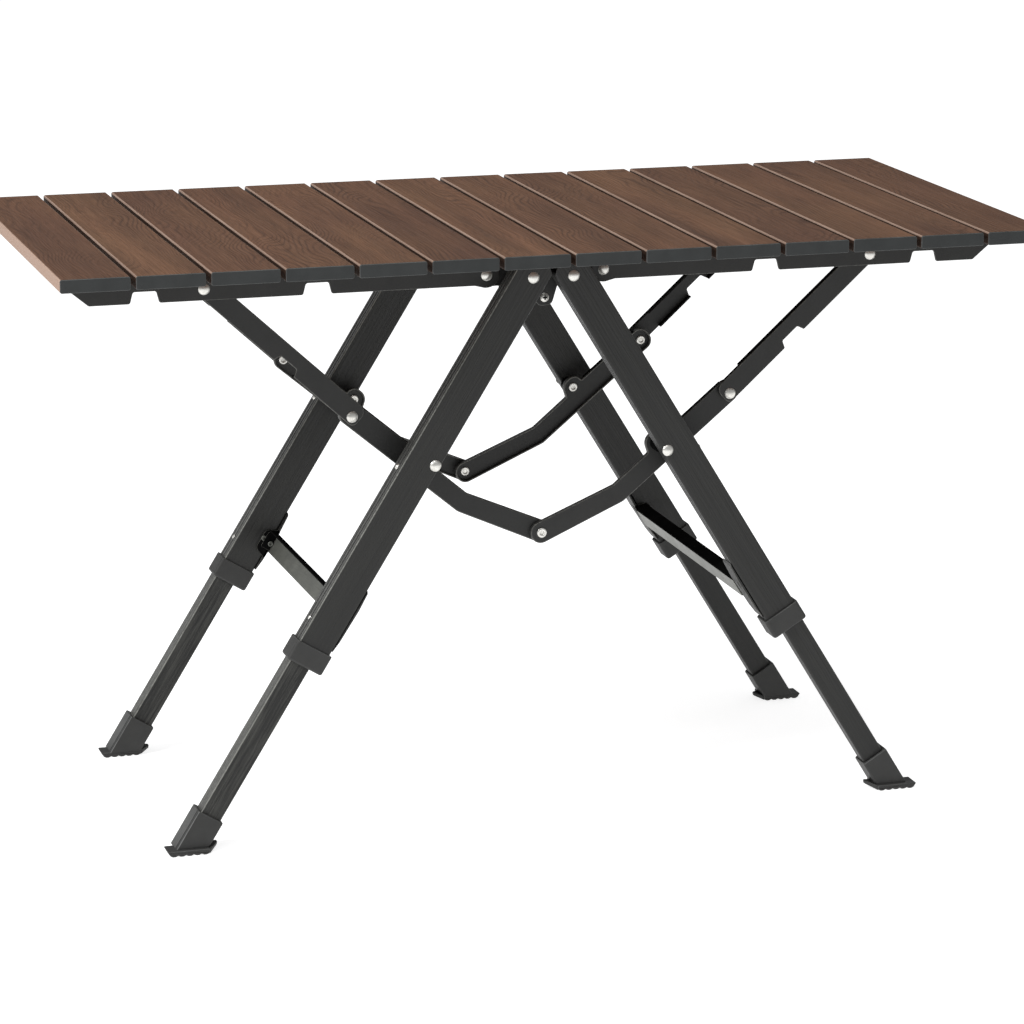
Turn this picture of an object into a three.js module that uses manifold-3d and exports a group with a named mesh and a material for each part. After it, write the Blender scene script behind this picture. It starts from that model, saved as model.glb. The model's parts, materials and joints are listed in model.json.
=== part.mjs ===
// Folding picnic table with a slatted top, four telescopic legs and a brace linkage on each long side.
// Millimetres, +Z up, floor at z = 0, long side of the top along X, front of the table towards -Y.
// Every corner piece is drawn once for the front right corner and mirrored to the other three.
import * as THREE from "three";
import { mergeVertices } from "three/addons/utils/BufferGeometryUtils.js";
import Module from "manifold-3d";

const wasm = await Module();
wasm.setup();

// ---- driving dimensions ----
const SLATS = 14;
const SLAT_PITCH = 71.4;
const SLAT_GAP = 5;
const SLAT_WIDTH = SLAT_PITCH - SLAT_GAP;
const SLAT_LENGTH = 477;
const SLAT_THICKNESS = 13;
const TOP_HEIGHT = 590;
const SLAT_UNDERSIDE = TOP_HEIGHT - SLAT_THICKNESS;
const GAP = 0.3;

// pivots of the front right quarter, as [x, z]
const LEG_PIVOT = [20.6, 556.5];
const WING_PIVOT = [60, 556];
const RAIL_PIVOT = [342, 557];
const ARM_PIVOT = [196, 422.2];
const CENTRE_PIVOT = [0, 290.5];
const LINK_BEND = [80.5, 325.5];

// leg frame: s runs down the leg from LEG_PIVOT, n points away from the middle of the table
const LEG_TILT = THREE.MathUtils.degToRad(31.7);
const LINK_PIVOT_S = 206.7;
const LINK_PIVOT_N = -10.8;
const UPPER = { n0: -15.75, n1: 19.25, top: -19, bottom: 438, wall: 1.3 };
const LOWER = { n0: -5.4, n1: 17.5, top: 300, bottom: 634, wall: 1.2 };
const COLLAR = { n0: -18.4, n1: 21.9, top: 420.5, bottom: 442, wall: 3 };
const SOCKET = { n0: -7.6, n1: 21, top: 615.5 };
const SOLE = { x0: 353, x1: 393, height: 6, ribs: 5 };
const TOE = { x0: 342, height: 8.5, y: [-180, -157] };

// planes across the depth of the table, front side, as [outer, inner]
const UPPER_Y = [-176, -154];
const LOWER_Y = [-174.3, -155.7];
const COLLAR_Y = [-178.6, -151.4];
const SOCKET_Y = [-178.4, -151.6];
const SOLE_Y = [-183, -151.6];
const RAIL_Y = [-148.6, -146.4];
const RAIL_FLANGE_INNER = -132;
const ARM_Y = [-145.9, -144.3];
const ARM_RIM_INNER = -141.2;
const BRACKET_Y = [-145.9, -143.9];
const OUTER_LINK_Y = [-137.6, -136];
const OUTER_LINK_RIM = -140.7;
const INNER_LINK_Y = [-130.6, -129];
const INNER_LINK_RIM = -135.4;

const RIVET = { shank: 3, head: 5.1, rise: 2 };
const HOLE = RIVET.shank + GAP;
const ROD = { z: 530.5, radius: 5, bore: 2.9 };
const LEVER = { top: 346, bottom: 412, sheet: 1.5, lift: 4.6 };
const CROSSBAR = { top: 371, bottom: 393, n0: -19.8, n1: -7.2, sheet: 1.5 };
const CURVE_STEPS = 3;
const ROUND_STEPS = 10;

// ---- materials ----
const material = (color, roughness, metalness) => {
  return new THREE.MeshStandardMaterial({ color, roughness, metalness });
};
const WOOD = material(0x5d4335, 0.55, 0);
const BLACK_STEEL = material(0x2f2f2d, 0.5, 0.5);
const BLACK_TUBE = material(0x33332f, 0.5, 0.5);
const BLACK_PLASTIC = material(0x3c3d3c, 0.6, 0);
const GREY_STEEL = material(0x5c5d58, 0.45, 0.7);
const NICKEL = material(0xc9c9c4, 0.25, 1);

// ---- solids ----
function solid(geometry) {
  const plain = geometry.index ? geometry.toNonIndexed() : geometry.clone();
  plain.deleteAttribute("normal");
  plain.deleteAttribute("uv");
  const merged = mergeVertices(plain, 1e-4);
  return new wasm.Manifold(
    new wasm.Mesh({
      numProp: 3,
      vertProperties: merged.attributes.position.array,
      triVerts: new Uint32Array(merged.index.array),
    }),
  );
}

function union(bodies) {
  return bodies.reduce((whole, body) => whole.add(body));
}

function geometryOf(body) {
  const mesh = body.getMesh();
  const vertices = new Float32Array(mesh.numVert * 3);
  for (let i = 0; i < mesh.numVert; i += 1) {
    vertices.set(mesh.vertProperties.subarray(i * mesh.numProp, i * mesh.numProp + 3), i * 3);
  }
  const indexed = new THREE.BufferGeometry();
  indexed.setAttribute("position", new THREE.BufferAttribute(vertices, 3));
  indexed.setIndex(new THREE.BufferAttribute(new Uint32Array(mesh.triVerts), 1));
  const flat = indexed.toNonIndexed();
  flat.computeVertexNormals();
  return flat;
}

// an outline with rounded corners: each corner is [a, b, radius]
function outline(corners) {
  const shape = new THREE.Shape();
  corners.forEach(([a, b, radius = 0], i) => {
    const corner = new THREE.Vector2(a, b);
    const before = corners[(i + corners.length - 1) % corners.length];
    const after = corners[(i + 1) % corners.length];
    const back = new THREE.Vector2(before[0], before[1]).sub(corner).normalize();
    const ahead = new THREE.Vector2(after[0], after[1]).sub(corner).normalize();
    const half = Math.acos(THREE.MathUtils.clamp(back.dot(ahead), -1, 1)) / 2;
    const reach = radius / Math.tan(half);
    const start = corner.clone().addScaledVector(back, reach);
    const end = corner.clone().addScaledVector(ahead, reach);
    if (i === 0) shape.moveTo(start.x, start.y);
    else shape.lineTo(start.x, start.y);
    if (radius > 0) shape.quadraticCurveTo(corner.x, corner.y, end.x, end.y);
  });
  shape.closePath();
  return shape;
}

const rectangle = (a0, a1, b0, b1, radius = 0) => {
  return outline([
    [a0, b0, radius],
    [a1, b0, radius],
    [a1, b1, radius],
    [a0, b1, radius],
  ]);
};

// a many-sided disc with its corners on the circle
function disc([x, z], radius, steps = ROUND_STEPS) {
  const shape = new THREE.Shape();
  for (let i = 0; i < steps; i += 1) {
    const angle = (i * 2 * Math.PI) / steps;
    const a = x + radius * Math.cos(angle);
    const b = z + radius * Math.sin(angle);
    if (i === 0) shape.moveTo(a, b);
    else shape.lineTo(a, b);
  }
  shape.closePath();
  return shape;
}

// a strip with round ends from p to q
function strip(p, q, rp, rq = rp) {
  const angle = Math.atan2(q[1] - p[1], q[0] - p[0]);
  const shape = new THREE.Shape();
  const steps = 6;
  for (let i = 0; i <= steps; i += 1) {
    const turn = angle + Math.PI / 2 + (i * Math.PI) / steps;
    const a = p[0] + rp * Math.cos(turn);
    const b = p[1] + rp * Math.sin(turn);
    if (i === 0) shape.moveTo(a, b);
    else shape.lineTo(a, b);
  }
  for (let i = 0; i <= steps; i += 1) {
    const turn = angle - Math.PI / 2 + (i * Math.PI) / steps;
    shape.lineTo(q[0] + rq * Math.cos(turn), q[1] + rq * Math.sin(turn));
  }
  shape.closePath();
  return shape;
}

function extrude(shape, depth) {
  return new THREE.ExtrudeGeometry(shape, {
    depth,
    bevelEnabled: false,
    curveSegments: CURVE_STEPS,
  });
}

// a plate whose outline lies in the XZ plane, from y0 to y1
function plate(shape, y0, y1) {
  return solid(extrude(shape, y1 - y0).rotateX(Math.PI / 2).translate(0, y1, 0));
}

// a length of section lying in the (n, y) plane of the leg, from s0 down to s1
function legLength(shape, s0, s1) {
  const [x, z] = legPoint(s1, 0);
  const frame = new THREE.Matrix4().makeBasis(
    new THREE.Vector3(Math.cos(LEG_TILT), 0, Math.sin(LEG_TILT)),
    new THREE.Vector3(0, 1, 0),
    new THREE.Vector3(-Math.sin(LEG_TILT), 0, Math.cos(LEG_TILT)),
  );
  frame.setPosition(x, 0, z);
  return solid(extrude(shape, s1 - s0).applyMatrix4(frame));
}

function legPoint(s, n) {
  return [
    LEG_PIVOT[0] + s * Math.sin(LEG_TILT) + n * Math.cos(LEG_TILT),
    LEG_PIVOT[1] - s * Math.cos(LEG_TILT) + n * Math.sin(LEG_TILT),
  ];
}

// an outline in the leg frame, each corner [s, n, radius], turned into the XZ plane
const legOutline = (corners) => {
  return outline(corners.map(([s, n, radius = 0]) => [...legPoint(s, n), radius]));
};

// a round pin along Y, given as [y, radius] steps from its outer end to its inner end
function pin([x, z], steps) {
  const profile = [[steps[0][0], 0], ...steps, [steps.at(-1)[0], 0]];
  const points = profile.map(([y, radius]) => new THREE.Vector2(radius, y));
  return solid(new THREE.LatheGeometry(points, ROUND_STEPS).translate(x, 0, z));
}

// a domed rivet head whose flat side is at y, rising towards the outside or the inside
const domeSteps = (y, direction) => [
  [y + direction * RIVET.rise, RIVET.head * 0.55],
  [y, RIVET.head],
];
const outerDome = (y) => domeSteps(y, -1);
const innerDome = (y) => domeSteps(y, 1).reverse();

const linkPivot = legPoint(LINK_PIVOT_S, LINK_PIVOT_N);

// ---- pieces of the front right quarter ----
function slatSolid(index) {
  const x0 = (index - SLATS / 2) * SLAT_PITCH + SLAT_GAP / 2;
  const x1 = x0 + SLAT_WIDTH;
  const section = outline([
    [x0, SLAT_UNDERSIDE, 2],
    [x1, SLAT_UNDERSIDE, 2],
    [x1, TOP_HEIGHT, 3.5],
    [x0, TOP_HEIGHT, 3.5],
  ]);
  return plate(section, -SLAT_LENGTH / 2, SLAT_LENGTH / 2);
}

function railSolid() {
  const top = SLAT_UNDERSIDE - GAP;
  const low = 546;
  const high = 557.5;
  const web = outline([
    [47.5, 543.5, 12],
    [62, 543.5, 4],
    [72, low, 4],
    [216, low, 2.5],
    [219, high, 2.5],
    [241.5, high, 2.5],
    [244.5, low, 2.5],
    [385.5, low, 2.5],
    [388.5, high, 2.5],
    [411, high, 2.5],
    [414, low, 2.5],
    [454, low, 3],
    [485, top - 5, 3],
    [485, top, 1],
    [76, top, 1],
    [73, 568.5, 4],
    [47.5, 568.5, 12],
  ]);
  const flange = new THREE.BoxGeometry(408, RAIL_FLANGE_INNER - RAIL_Y[0], 2);
  flange.translate(281, (RAIL_FLANGE_INNER + RAIL_Y[0]) / 2, top - 1);
  const headBack = RAIL_Y[0] + 0.2;
  const wingRivet = [
    ...outerDome(headBack),
    [headBack, RIVET.shank],
    [BRACKET_Y[1] + GAP, RIVET.shank],
    ...innerDome(BRACKET_Y[1] + GAP),
  ];
  const armRivet = [
    ...outerDome(headBack),
    [headBack, RIVET.shank],
    [ARM_Y[1] + GAP, RIVET.shank],
    ...innerDome(ARM_Y[1] + GAP),
  ];
  return union([
    plate(web, ...RAIL_Y),
    solid(flange),
    pin(WING_PIVOT, wingRivet),
    pin(RAIL_PIVOT, armRivet),
  ]);
}

function armSolid() {
  const [ax, az] = RAIL_PIVOT;
  const [jx, jz] = ARM_PIVOT;
  const length = Math.hypot(jx - ax, jz - az);
  const along = [(jx - ax) / length, (jz - az) / length];
  const upper = [along[1], -along[0]];
  const at = (t, u, radius = 0) => {
    return [ax + along[0] * t + upper[0] * u, az + along[1] * t + upper[1] * u, radius];
  };
  const side = Math.sign(upper[1]);
  const edge = (t) => side * (13.2 + t / length);
  const lower = (t) => side * (-8.4 + (0.8 * t) / length);
  const notch = { from: 100, to: 127, depth: 7.5 };
  const web = outline([
    at(-9, edge(0), 9),
    at(length + 8, edge(length), 9),
    at(length + 8, lower(length), 6),
    at(notch.to, lower(notch.to), 2),
    at(notch.to - 3, lower(notch.to) + side * notch.depth, 2),
    at(notch.from + 3, lower(notch.from) + side * notch.depth, 2),
    at(notch.from, lower(notch.from), 2),
    at(-9, lower(0), 7),
  ]);
  const rim = (t0, t1, u0, u1) => {
    return outline([at(t0, u0(t0)), at(t1, u0(t1)), at(t1, u1(t1)), at(t0, u1(t0))]);
  };
  const inset = (line, amount) => (t) => line(t) + side * amount;
  const rims = [
    rim(16, length - 26, edge, inset(edge, -1.5)),
    rim(16, notch.from, lower, inset(lower, 1.5)),
    rim(notch.to, length - 26, lower, inset(lower, 1.5)),
  ];
  const hole = plate(disc(RAIL_PIVOT, HOLE), ARM_Y[0] - 1, ARM_Y[1] + 1);
  const head = pin(ARM_PIVOT, [...outerDome(ARM_Y[0] + 0.2), [ARM_Y[1] - 0.5, RIVET.shank]]);
  return union([
    plate(web, ...ARM_Y).subtract(hole),
    ...rims.map((shape) => plate(shape, ARM_Y[0], ARM_RIM_INNER)),
    head,
  ]);
}

// the cranked lower link: a pressed tray whose rim faces the outside of the table
function linkSolid(web, rim) {
  const pieces = (inset, y0, y1) => {
    return union([
      plate(strip(ARM_PIVOT, LINK_BEND, 10.4 - inset), y0, y1),
      plate(strip(LINK_BEND, CENTRE_PIVOT, 10.4 - inset, 11.2 - inset), y0, y1),
      plate(strip([linkPivot[0] + 4, linkPivot[1] - 12], linkPivot, 11.5 - inset), y0, y1),
    ]);
  };
  const tray = pieces(0, rim, web[1]).subtract(pieces(1.5, rim - 1, web[0]));
  const shoulder = UPPER_Y[1] + GAP;
  const legRivet = [
    ...outerDome(UPPER_Y[0] - GAP),
    [UPPER_Y[0] - GAP, RIVET.shank],
    [shoulder, RIVET.shank],
    [shoulder, 6],
    [web[1] - 0.4, 6],
    ...innerDome(web[1] - 0.2),
  ];
  const armHead = pin(ARM_PIVOT, [[web[0] + 0.5, RIVET.shank], ...innerDome(web[1] - 0.2)]);
  const centreHead =
    web === OUTER_LINK_Y
      ? pin(CENTRE_PIVOT, [...outerDome(web[0] + 0.2), [web[1] - 0.5, RIVET.shank]])
      : pin(CENTRE_PIVOT, [[web[0] + 0.5, RIVET.shank], ...innerDome(web[1] - 0.2)]);
  return union([tray, pin(linkPivot, legRivet), armHead, centreHead]);
}

function upperTubeSolid() {
  const { n0, n1, top, bottom, wall } = UPPER;
  const [y0, y1] = UPPER_Y;
  const tube = legLength(rectangle(n0, n1, y0, y1, 2), top, bottom);
  const bore = legLength(
    rectangle(n0 + wall, n1 - wall, y0 + wall, y1 - wall, 1),
    top + 3,
    bottom + 1,
  );
  const end = plate(disc(LEG_PIVOT, -UPPER.top, 24), y0 - 1, y1 + 1);
  const shaft = plate(
    legOutline([
      [0, n0 - 5],
      [0, n1 + 5],
      [bottom + 5, n1 + 5],
      [bottom + 5, n0 - 5],
    ]),
    y0 - 1,
    y1 + 1,
  );
  const hole = (centre) => plate(disc(centre, HOLE), y0 - 1, y1 + 1);
  return tube
    .subtract(bore)
    .intersect(end.add(shaft))
    .subtract(hole(LEG_PIVOT))
    .subtract(hole(linkPivot));
}

function lowerTubeSolid() {
  const { n0, n1, top, bottom, wall } = LOWER;
  const [y0, y1] = LOWER_Y;
  const tube = legLength(rectangle(n0, n1, y0, y1, 2), top, bottom);
  const bore = legLength(
    rectangle(n0 + wall, n1 - wall, y0 + wall, y1 - wall, 1),
    top - 1,
    bottom + 1,
  );
  return tube.subtract(bore);
}

function collarSolid() {
  const { n0, n1, top, bottom, wall } = COLLAR;
  const body = legLength(rectangle(n0, n1, ...COLLAR_Y, 3), top, bottom);
  const seat = legLength(
    rectangle(UPPER.n0 - GAP, UPPER.n1 + GAP, UPPER_Y[0] - GAP, UPPER_Y[1] + GAP, 1),
    top - 1,
    bottom - wall,
  );
  const passage = legLength(
    rectangle(LOWER.n0 - GAP, LOWER.n1 + GAP, LOWER_Y[0] - GAP, LOWER_Y[1] + GAP, 1),
    bottom - wall - 1,
    bottom + 1,
  );
  return body.subtract(seat).subtract(passage);
}

function footSolid() {
  const { n0, n1, top } = SOCKET;
  const floorAt = (n) => {
    return (LEG_PIVOT[1] + n * Math.sin(LEG_TILT) - 4) / Math.cos(LEG_TILT);
  };
  const socket = plate(
    legOutline([
      [top, n1, 1.5],
      [top, n0, 1.5],
      [floorAt(n0), n0],
      [floorAt(n1), n1],
    ]),
    ...SOCKET_Y,
  );
  const seat = legLength(
    rectangle(LOWER.n0 - GAP, LOWER.n1 + GAP, LOWER_Y[0] - GAP, LOWER_Y[1] + GAP, 1),
    top - 1,
    LOWER.bottom + GAP,
  );
  const rib = (SOLE.x1 - SOLE.x0 - 2) / SOLE.ribs;
  const tread = [];
  for (let i = 0; i < SOLE.ribs; i += 1) {
    const x = SOLE.x0 + 1 + i * rib;
    tread.push([x + 0.5, 1.6], [x + 2.4, 0], [x + rib - 2.4, 0], [x + rib - 0.5, 1.6]);
  }
  const sole = outline([
    [SOLE.x0, 2, 1],
    ...tread,
    [SOLE.x1, 2, 1],
    [SOLE.x1, SOLE.height, 1.5],
    [SOLE.x0, SOLE.height, 1.5],
  ]);
  const toe = rectangle(TOE.x0, SOLE.x0 + 3, 1.4, TOE.height, 1.5);
  return union([socket.subtract(seat), plate(sole, ...SOLE_Y), plate(toe, ...TOE.y)]);
}

// the sprung release lever on the inner narrow face of the upper tube, with a cheek for the crossbar
function leverSolid() {
  const { top, bottom, sheet, lift } = LEVER;
  const face = UPPER.n0 - GAP;
  const blade = plate(
    legOutline([
      [top, face - lift, 0.5],
      [top, face - lift - sheet, 0.5],
      [bottom, face - sheet, 0.5],
      [bottom, face, 0.5],
    ]),
    UPPER_Y[0] + 1.5,
    UPPER_Y[1] + 1.8,
  );
  const cheek = plate(
    legOutline([
      [top + 14, face - lift - sheet, 2],
      [top + 20, -6, 4],
      [398, -6, 4],
      [404, face - 2, 1],
      [404, face - 0.4, 0],
      [top + 14, face - lift, 0],
    ]),
    UPPER_Y[1] + GAP,
    UPPER_Y[1] + 1.8,
  );
  return union([blade, cheek]);
}

// the pressed channel that joins the two release levers of a leg pair
function crossbarSolid() {
  const { top, bottom, n0, n1, sheet } = CROSSBAR;
  const end = UPPER_Y[1] + 1.8 + GAP;
  const body = plate(
    legOutline([
      [top, n1],
      [top, n0, 1.5],
      [bottom, n0, 1.5],
      [bottom, n1],
    ]),
    end,
    -end,
  );
  const hollow = plate(
    legOutline([
      [top + sheet, n1 + 2],
      [top + sheet, n0 + sheet, 1],
      [bottom - sheet, n0 + sheet, 1],
      [bottom - sheet, n1 + 2],
    ]),
    end + sheet,
    -end - sheet,
  );
  return body.subtract(hollow);
}

// ---- pieces on the middle of the table ----
function bracketSolid() {
  const top = SLAT_UNDERSIDE - GAP;
  const half = [
    [70, top - 6, 4],
    [72.5, 556, 8],
    [68, 544, 8],
    [50, 544.5, 3],
    [14, 544.5, 6],
    [7.4, 522.5, 6.5],
  ];
  const mirrored = half.map(([x, z, radius]) => [-x, z, radius]).reverse();
  const web = plate(outline([...half, ...mirrored]), ...BRACKET_Y);
  const rise = new THREE.BoxGeometry(132, BRACKET_Y[1] - BRACKET_Y[0], 8);
  rise.translate(0, (BRACKET_Y[0] + BRACKET_Y[1]) / 2, top - 4);
  const flange = new THREE.BoxGeometry(132, 18, 2);
  flange.translate(0, BRACKET_Y[0] + 9, top - 1);
  const centres = [
    [LEG_PIVOT, HOLE],
    [WING_PIVOT, HOLE],
    [[-LEG_PIVOT[0], LEG_PIVOT[1]], HOLE],
    [[-WING_PIVOT[0], WING_PIVOT[1]], HOLE],
    [[0, ROD.z], ROD.bore],
  ];
  const holes = centres.map(([centre, radius]) => {
    return plate(disc(centre, radius), BRACKET_Y[0] - 1, BRACKET_Y[1] + 1);
  });
  return union([web, solid(rise), solid(flange)]).subtract(union(holes));
}

function legPinSolid() {
  const shoulder = UPPER_Y[1] + GAP;
  const seat = BRACKET_Y[0] - GAP;
  return pin(LEG_PIVOT, [
    ...outerDome(UPPER_Y[0] - GAP),
    [UPPER_Y[0] - GAP, RIVET.shank],
    [shoulder, RIVET.shank],
    [shoulder, 7],
    [seat, 7],
    [seat, RIVET.shank],
    [BRACKET_Y[1] + GAP, RIVET.shank],
    ...innerDome(BRACKET_Y[1] + GAP),
  ]);
}

function spacerRodSolid() {
  const end = BRACKET_Y[1] + GAP;
  const rod = plate(disc([0, ROD.z], ROD.radius, 16), end, -end);
  return rod.subtract(plate(disc([0, ROD.z], ROD.bore), end - 1, -end + 1));
}

function rodScrewSolid() {
  const face = BRACKET_Y[0] - GAP;
  return pin([0, ROD.z], [
    [face - 2.2, 2.6],
    [face - 1.5, 4.1],
    [face, 4.8],
    [face, ROD.bore - GAP],
    [face + 16, ROD.bore - GAP],
  ]);
}

// ---- assembly ----
const table = new THREE.Group();

function place(name, geometry, surface, side = 1, front = 1) {
  const mesh = new THREE.Mesh(geometry, surface);
  mesh.name = name;
  mesh.scale.set(side, front, 1);
  table.add(mesh);
}

for (let i = 0; i < SLATS; i += 1) {
  const number = String(i + 1).padStart(2, "0");
  place(`slat_${number}`, geometryOf(slatSolid(i)), WOOD);
}

const cornerPieces = [
  ["rail", geometryOf(railSolid()), BLACK_STEEL],
  ["upper_arm", geometryOf(armSolid()), BLACK_STEEL],
  ["upper_leg", geometryOf(upperTubeSolid()), BLACK_TUBE],
  ["lower_leg", geometryOf(lowerTubeSolid()), BLACK_TUBE],
  ["collar", geometryOf(collarSolid()), BLACK_PLASTIC],
  ["foot", geometryOf(footSolid()), BLACK_PLASTIC],
  ["release_lever", geometryOf(leverSolid()), GREY_STEEL],
  ["leg_pivot_pin", geometryOf(legPinSolid()), NICKEL],
];
const outerLink = geometryOf(linkSolid(OUTER_LINK_Y, OUTER_LINK_RIM));
const innerLink = geometryOf(linkSolid(INNER_LINK_Y, INNER_LINK_RIM));
const corners = [
  ["front_right", 1, 1],
  ["front_left", -1, 1],
  ["back_right", 1, -1],
  ["back_left", -1, -1],
];
for (const [corner, side, front] of corners) {
  for (const [piece, geometry, surface] of cornerPieces) {
    place(`${piece}_${corner}`, geometry, surface, side, front);
  }
  const link = side * front > 0 ? outerLink : innerLink;
  place(`lower_link_${corner}`, link, BLACK_STEEL, side, front);
}

const crossbar = geometryOf(crossbarSolid());
place("release_crossbar_right", crossbar, GREY_STEEL);
place("release_crossbar_left", crossbar, GREY_STEEL, -1);

const bracket = geometryOf(bracketSolid());
const rodScrew = geometryOf(rodScrewSolid());
for (const [name, front] of [["front", 1], ["back", -1]]) {
  place(`centre_bracket_${name}`, bracket, BLACK_STEEL, 1, front);
  place(`rod_screw_${name}`, rodScrew, NICKEL, 1, front);
}
place("spacer_rod", geometryOf(spacerRodSolid()), BLACK_STEEL);

export default table;
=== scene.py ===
# Folding picnic table: the pieces that are seen, each drawn over its CAD node in the same frame.
# Shapes are worked out in millimetres for the front right quarter of the table, then mirrored to
# the other corners and turned into metres when the mesh is made.
import json
import math

import bmesh
import bpy
from mathutils import Matrix, Vector


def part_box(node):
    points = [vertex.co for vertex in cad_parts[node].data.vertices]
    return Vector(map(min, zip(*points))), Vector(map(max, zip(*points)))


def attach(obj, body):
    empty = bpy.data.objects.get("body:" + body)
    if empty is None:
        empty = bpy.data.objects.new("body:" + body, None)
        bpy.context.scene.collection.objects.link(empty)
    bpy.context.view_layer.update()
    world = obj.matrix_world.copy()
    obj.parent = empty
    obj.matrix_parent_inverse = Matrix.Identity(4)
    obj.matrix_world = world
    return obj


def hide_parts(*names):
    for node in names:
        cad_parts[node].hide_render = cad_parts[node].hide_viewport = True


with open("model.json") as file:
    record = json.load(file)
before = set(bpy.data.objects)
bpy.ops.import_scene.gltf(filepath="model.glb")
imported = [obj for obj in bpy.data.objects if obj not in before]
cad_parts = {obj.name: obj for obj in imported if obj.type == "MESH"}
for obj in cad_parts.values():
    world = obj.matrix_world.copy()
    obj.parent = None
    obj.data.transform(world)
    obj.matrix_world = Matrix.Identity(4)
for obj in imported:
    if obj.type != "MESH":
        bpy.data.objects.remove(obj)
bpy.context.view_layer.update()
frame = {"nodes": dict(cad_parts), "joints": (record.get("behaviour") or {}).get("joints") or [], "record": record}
MM = 0.001
GAP = 0.3


# ---- places read from the frame ----
def box_mm(node):
    low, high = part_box(node)
    return low / MM, high / MM


def joint_named(name):
    return next(joint for joint in frame["joints"] if joint["name"] == name)


def pivot_of(joint_name):
    x, y, z = joint_named(joint_name)["pos_m"]
    return (x / MM, z / MM)


def body_of(node):
    groups = frame["record"]["behaviour"]["bodies"]
    return next(body for body, members in groups.items() if node in members)


# ---- the lower link, measured from the lines between its pivots ----
LINK_END = 10.4  # half the width at the arm's pivot
LINK_MIDDLE = 11.2  # half the width at the middle pivot
LINK_LOBE = 11.5  # from the leg's rivet to the edge of its lobe
LINK_BROW = 13.6  # height of the upper edge towards the arm
LINK_RIM_START = 77.5  # from the bend to where the folded rim begins
LOBE_LEAN = math.radians(21.5)
LINK_BEND = (80.5, 325.5)

# ---- pivots as (x, z) and other places from the frame ----
SLATS = sorted(name for name in frame["nodes"] if name.startswith("slat_"))
LEG_PIVOT = pivot_of("leg_right_swing")
WING_PIVOT = pivot_of("wing_right_fold")
RAIL_PIVOT = pivot_of("arm_right_turn")
LINK_PIVOT = pivot_of("link_right_turn")
link_low, link_high = box_mm("lower_link_front_right")
ARM_PIVOT = (link_high.x - LINK_END, link_high.z - LINK_END)
CENTRE_PIVOT = (0, link_low.z + LINK_MIDDLE)
SLAT_UNDERSIDE = box_mm("slat_01")[0].z
slide_axis = joint_named("leg_front_right_slide")["axis"]
LEG_TILT = math.atan2(-slide_axis[0], slide_axis[2])

# ---- sizes ----
# On a leg, s runs down from the leg pivot and n points away from the middle of the table.
UPPER = {"n": (-15.75, 19.25), "y": (-176, -154), "bottom": 438, "wall": 1.3}
LOWER = {"n": (-5.4, 17.5), "y": (-174.3, -155.7), "top": 300, "bottom": 634, "wall": 1.2}
COLLAR = {"n": (-18.4, 21.9), "y": (-178.6, -151.4), "s": (420.5, 442)}
SOCKET = {"n": (-7.6, 21), "y": (-178.4, -151.6), "top": 615.5}
SOLE = {"x": (352, 393), "y": (-183, -152), "height": 6, "pitch": 8.2, "outer_depth": 21}
TOE = {"y": (-182, -158), "z": (5, 8.5), "reach": 9.4}
LEVER = {"s": (346, 416), "lift": 3.3}
CROSSBAR = {"n": (-19.8, -7.2), "s": (371, 393), "sheet": 1.5}
LEVER_SIDE = UPPER["y"][1] + 1.8
LEVER_SCREWS = [(382, -6.5), (384, -15.5)]
TUBE_STOPS = [(226, 3.2, 2.2), (397, 2.4, 1.0)]  # s, radius and rise of each
RAIL_Y = (-148.6, -146.4)
ARM_Y = (-145.9, -144.3)
ARM_RIM_Y = -137.4
ARM_NOTCH = (100, 127)
ARM_NOTCH_DEPTH = 7.5
BRACKET_Y = (-145.9, -143.9)
OUTER_LINK_Y = (-140.7, -136)
INNER_LINK_Y = (-135.4, -129)
RIVET_RADIUS = 5.7
RIVET_RISE = 2.7
ARC_STEPS = 6
ROUND_STEPS = 40

# name, side (-1 is left), front (-1 is back)
CORNERS = [
    ("front_right", 1, 1),
    ("front_left", -1, 1),
    ("back_right", 1, -1),
    ("back_left", -1, -1),
]


# ---- outlines ----
def rounded(corners, steps=ARC_STEPS):
    """A closed outline. A corner (a, b) stays sharp, and (a, b, radius) becomes an arc."""
    points = []
    count = len(corners)
    for i, corner in enumerate(corners):
        here = Vector(corner[:2])
        radius = corner[2] if len(corner) > 2 else 0
        if radius == 0:
            points.append(here)
            continue
        back = (Vector(corners[i - 1][:2]) - here).normalized()
        ahead = (Vector(corners[(i + 1) % count][:2]) - here).normalized()
        half = back.angle(ahead) / 2
        centre = here + (back + ahead).normalized() * (radius / math.sin(half))
        start = here + back * (radius / math.tan(half)) - centre
        sweep = start.angle_signed(here + ahead * (radius / math.tan(half)) - centre)
        for k in range(steps + 1):
            turn = -sweep * k / steps
            spoke = Vector((
                start.x * math.cos(turn) - start.y * math.sin(turn),
                start.x * math.sin(turn) + start.y * math.cos(turn),
            ))
            points.append(centre + spoke)
    return counter_clockwise(points)


def counter_clockwise(points):
    area = sum(
        points[i - 1].x * points[i].y - points[i].x * points[i - 1].y
        for i in range(len(points))
    )
    return points if area > 0 else points[::-1]


def rectangle(a, b, radius):
    corners = [(a[0], b[0]), (a[1], b[0]), (a[1], b[1]), (a[0], b[1])]
    return rounded([(*corner, radius) for corner in corners])


def inset(points, amount):
    """The same outline moved inwards, with as many points."""
    moved = []
    for i, point in enumerate(points):
        before = (point - points[i - 1]).normalized()
        after = (points[(i + 1) % len(points)] - point).normalized()
        first = Vector((-before.y, before.x))
        second = Vector((-after.y, after.x))
        moved.append(point + (first + second) * (amount / (1 + first.dot(second))))
    return moved


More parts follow.
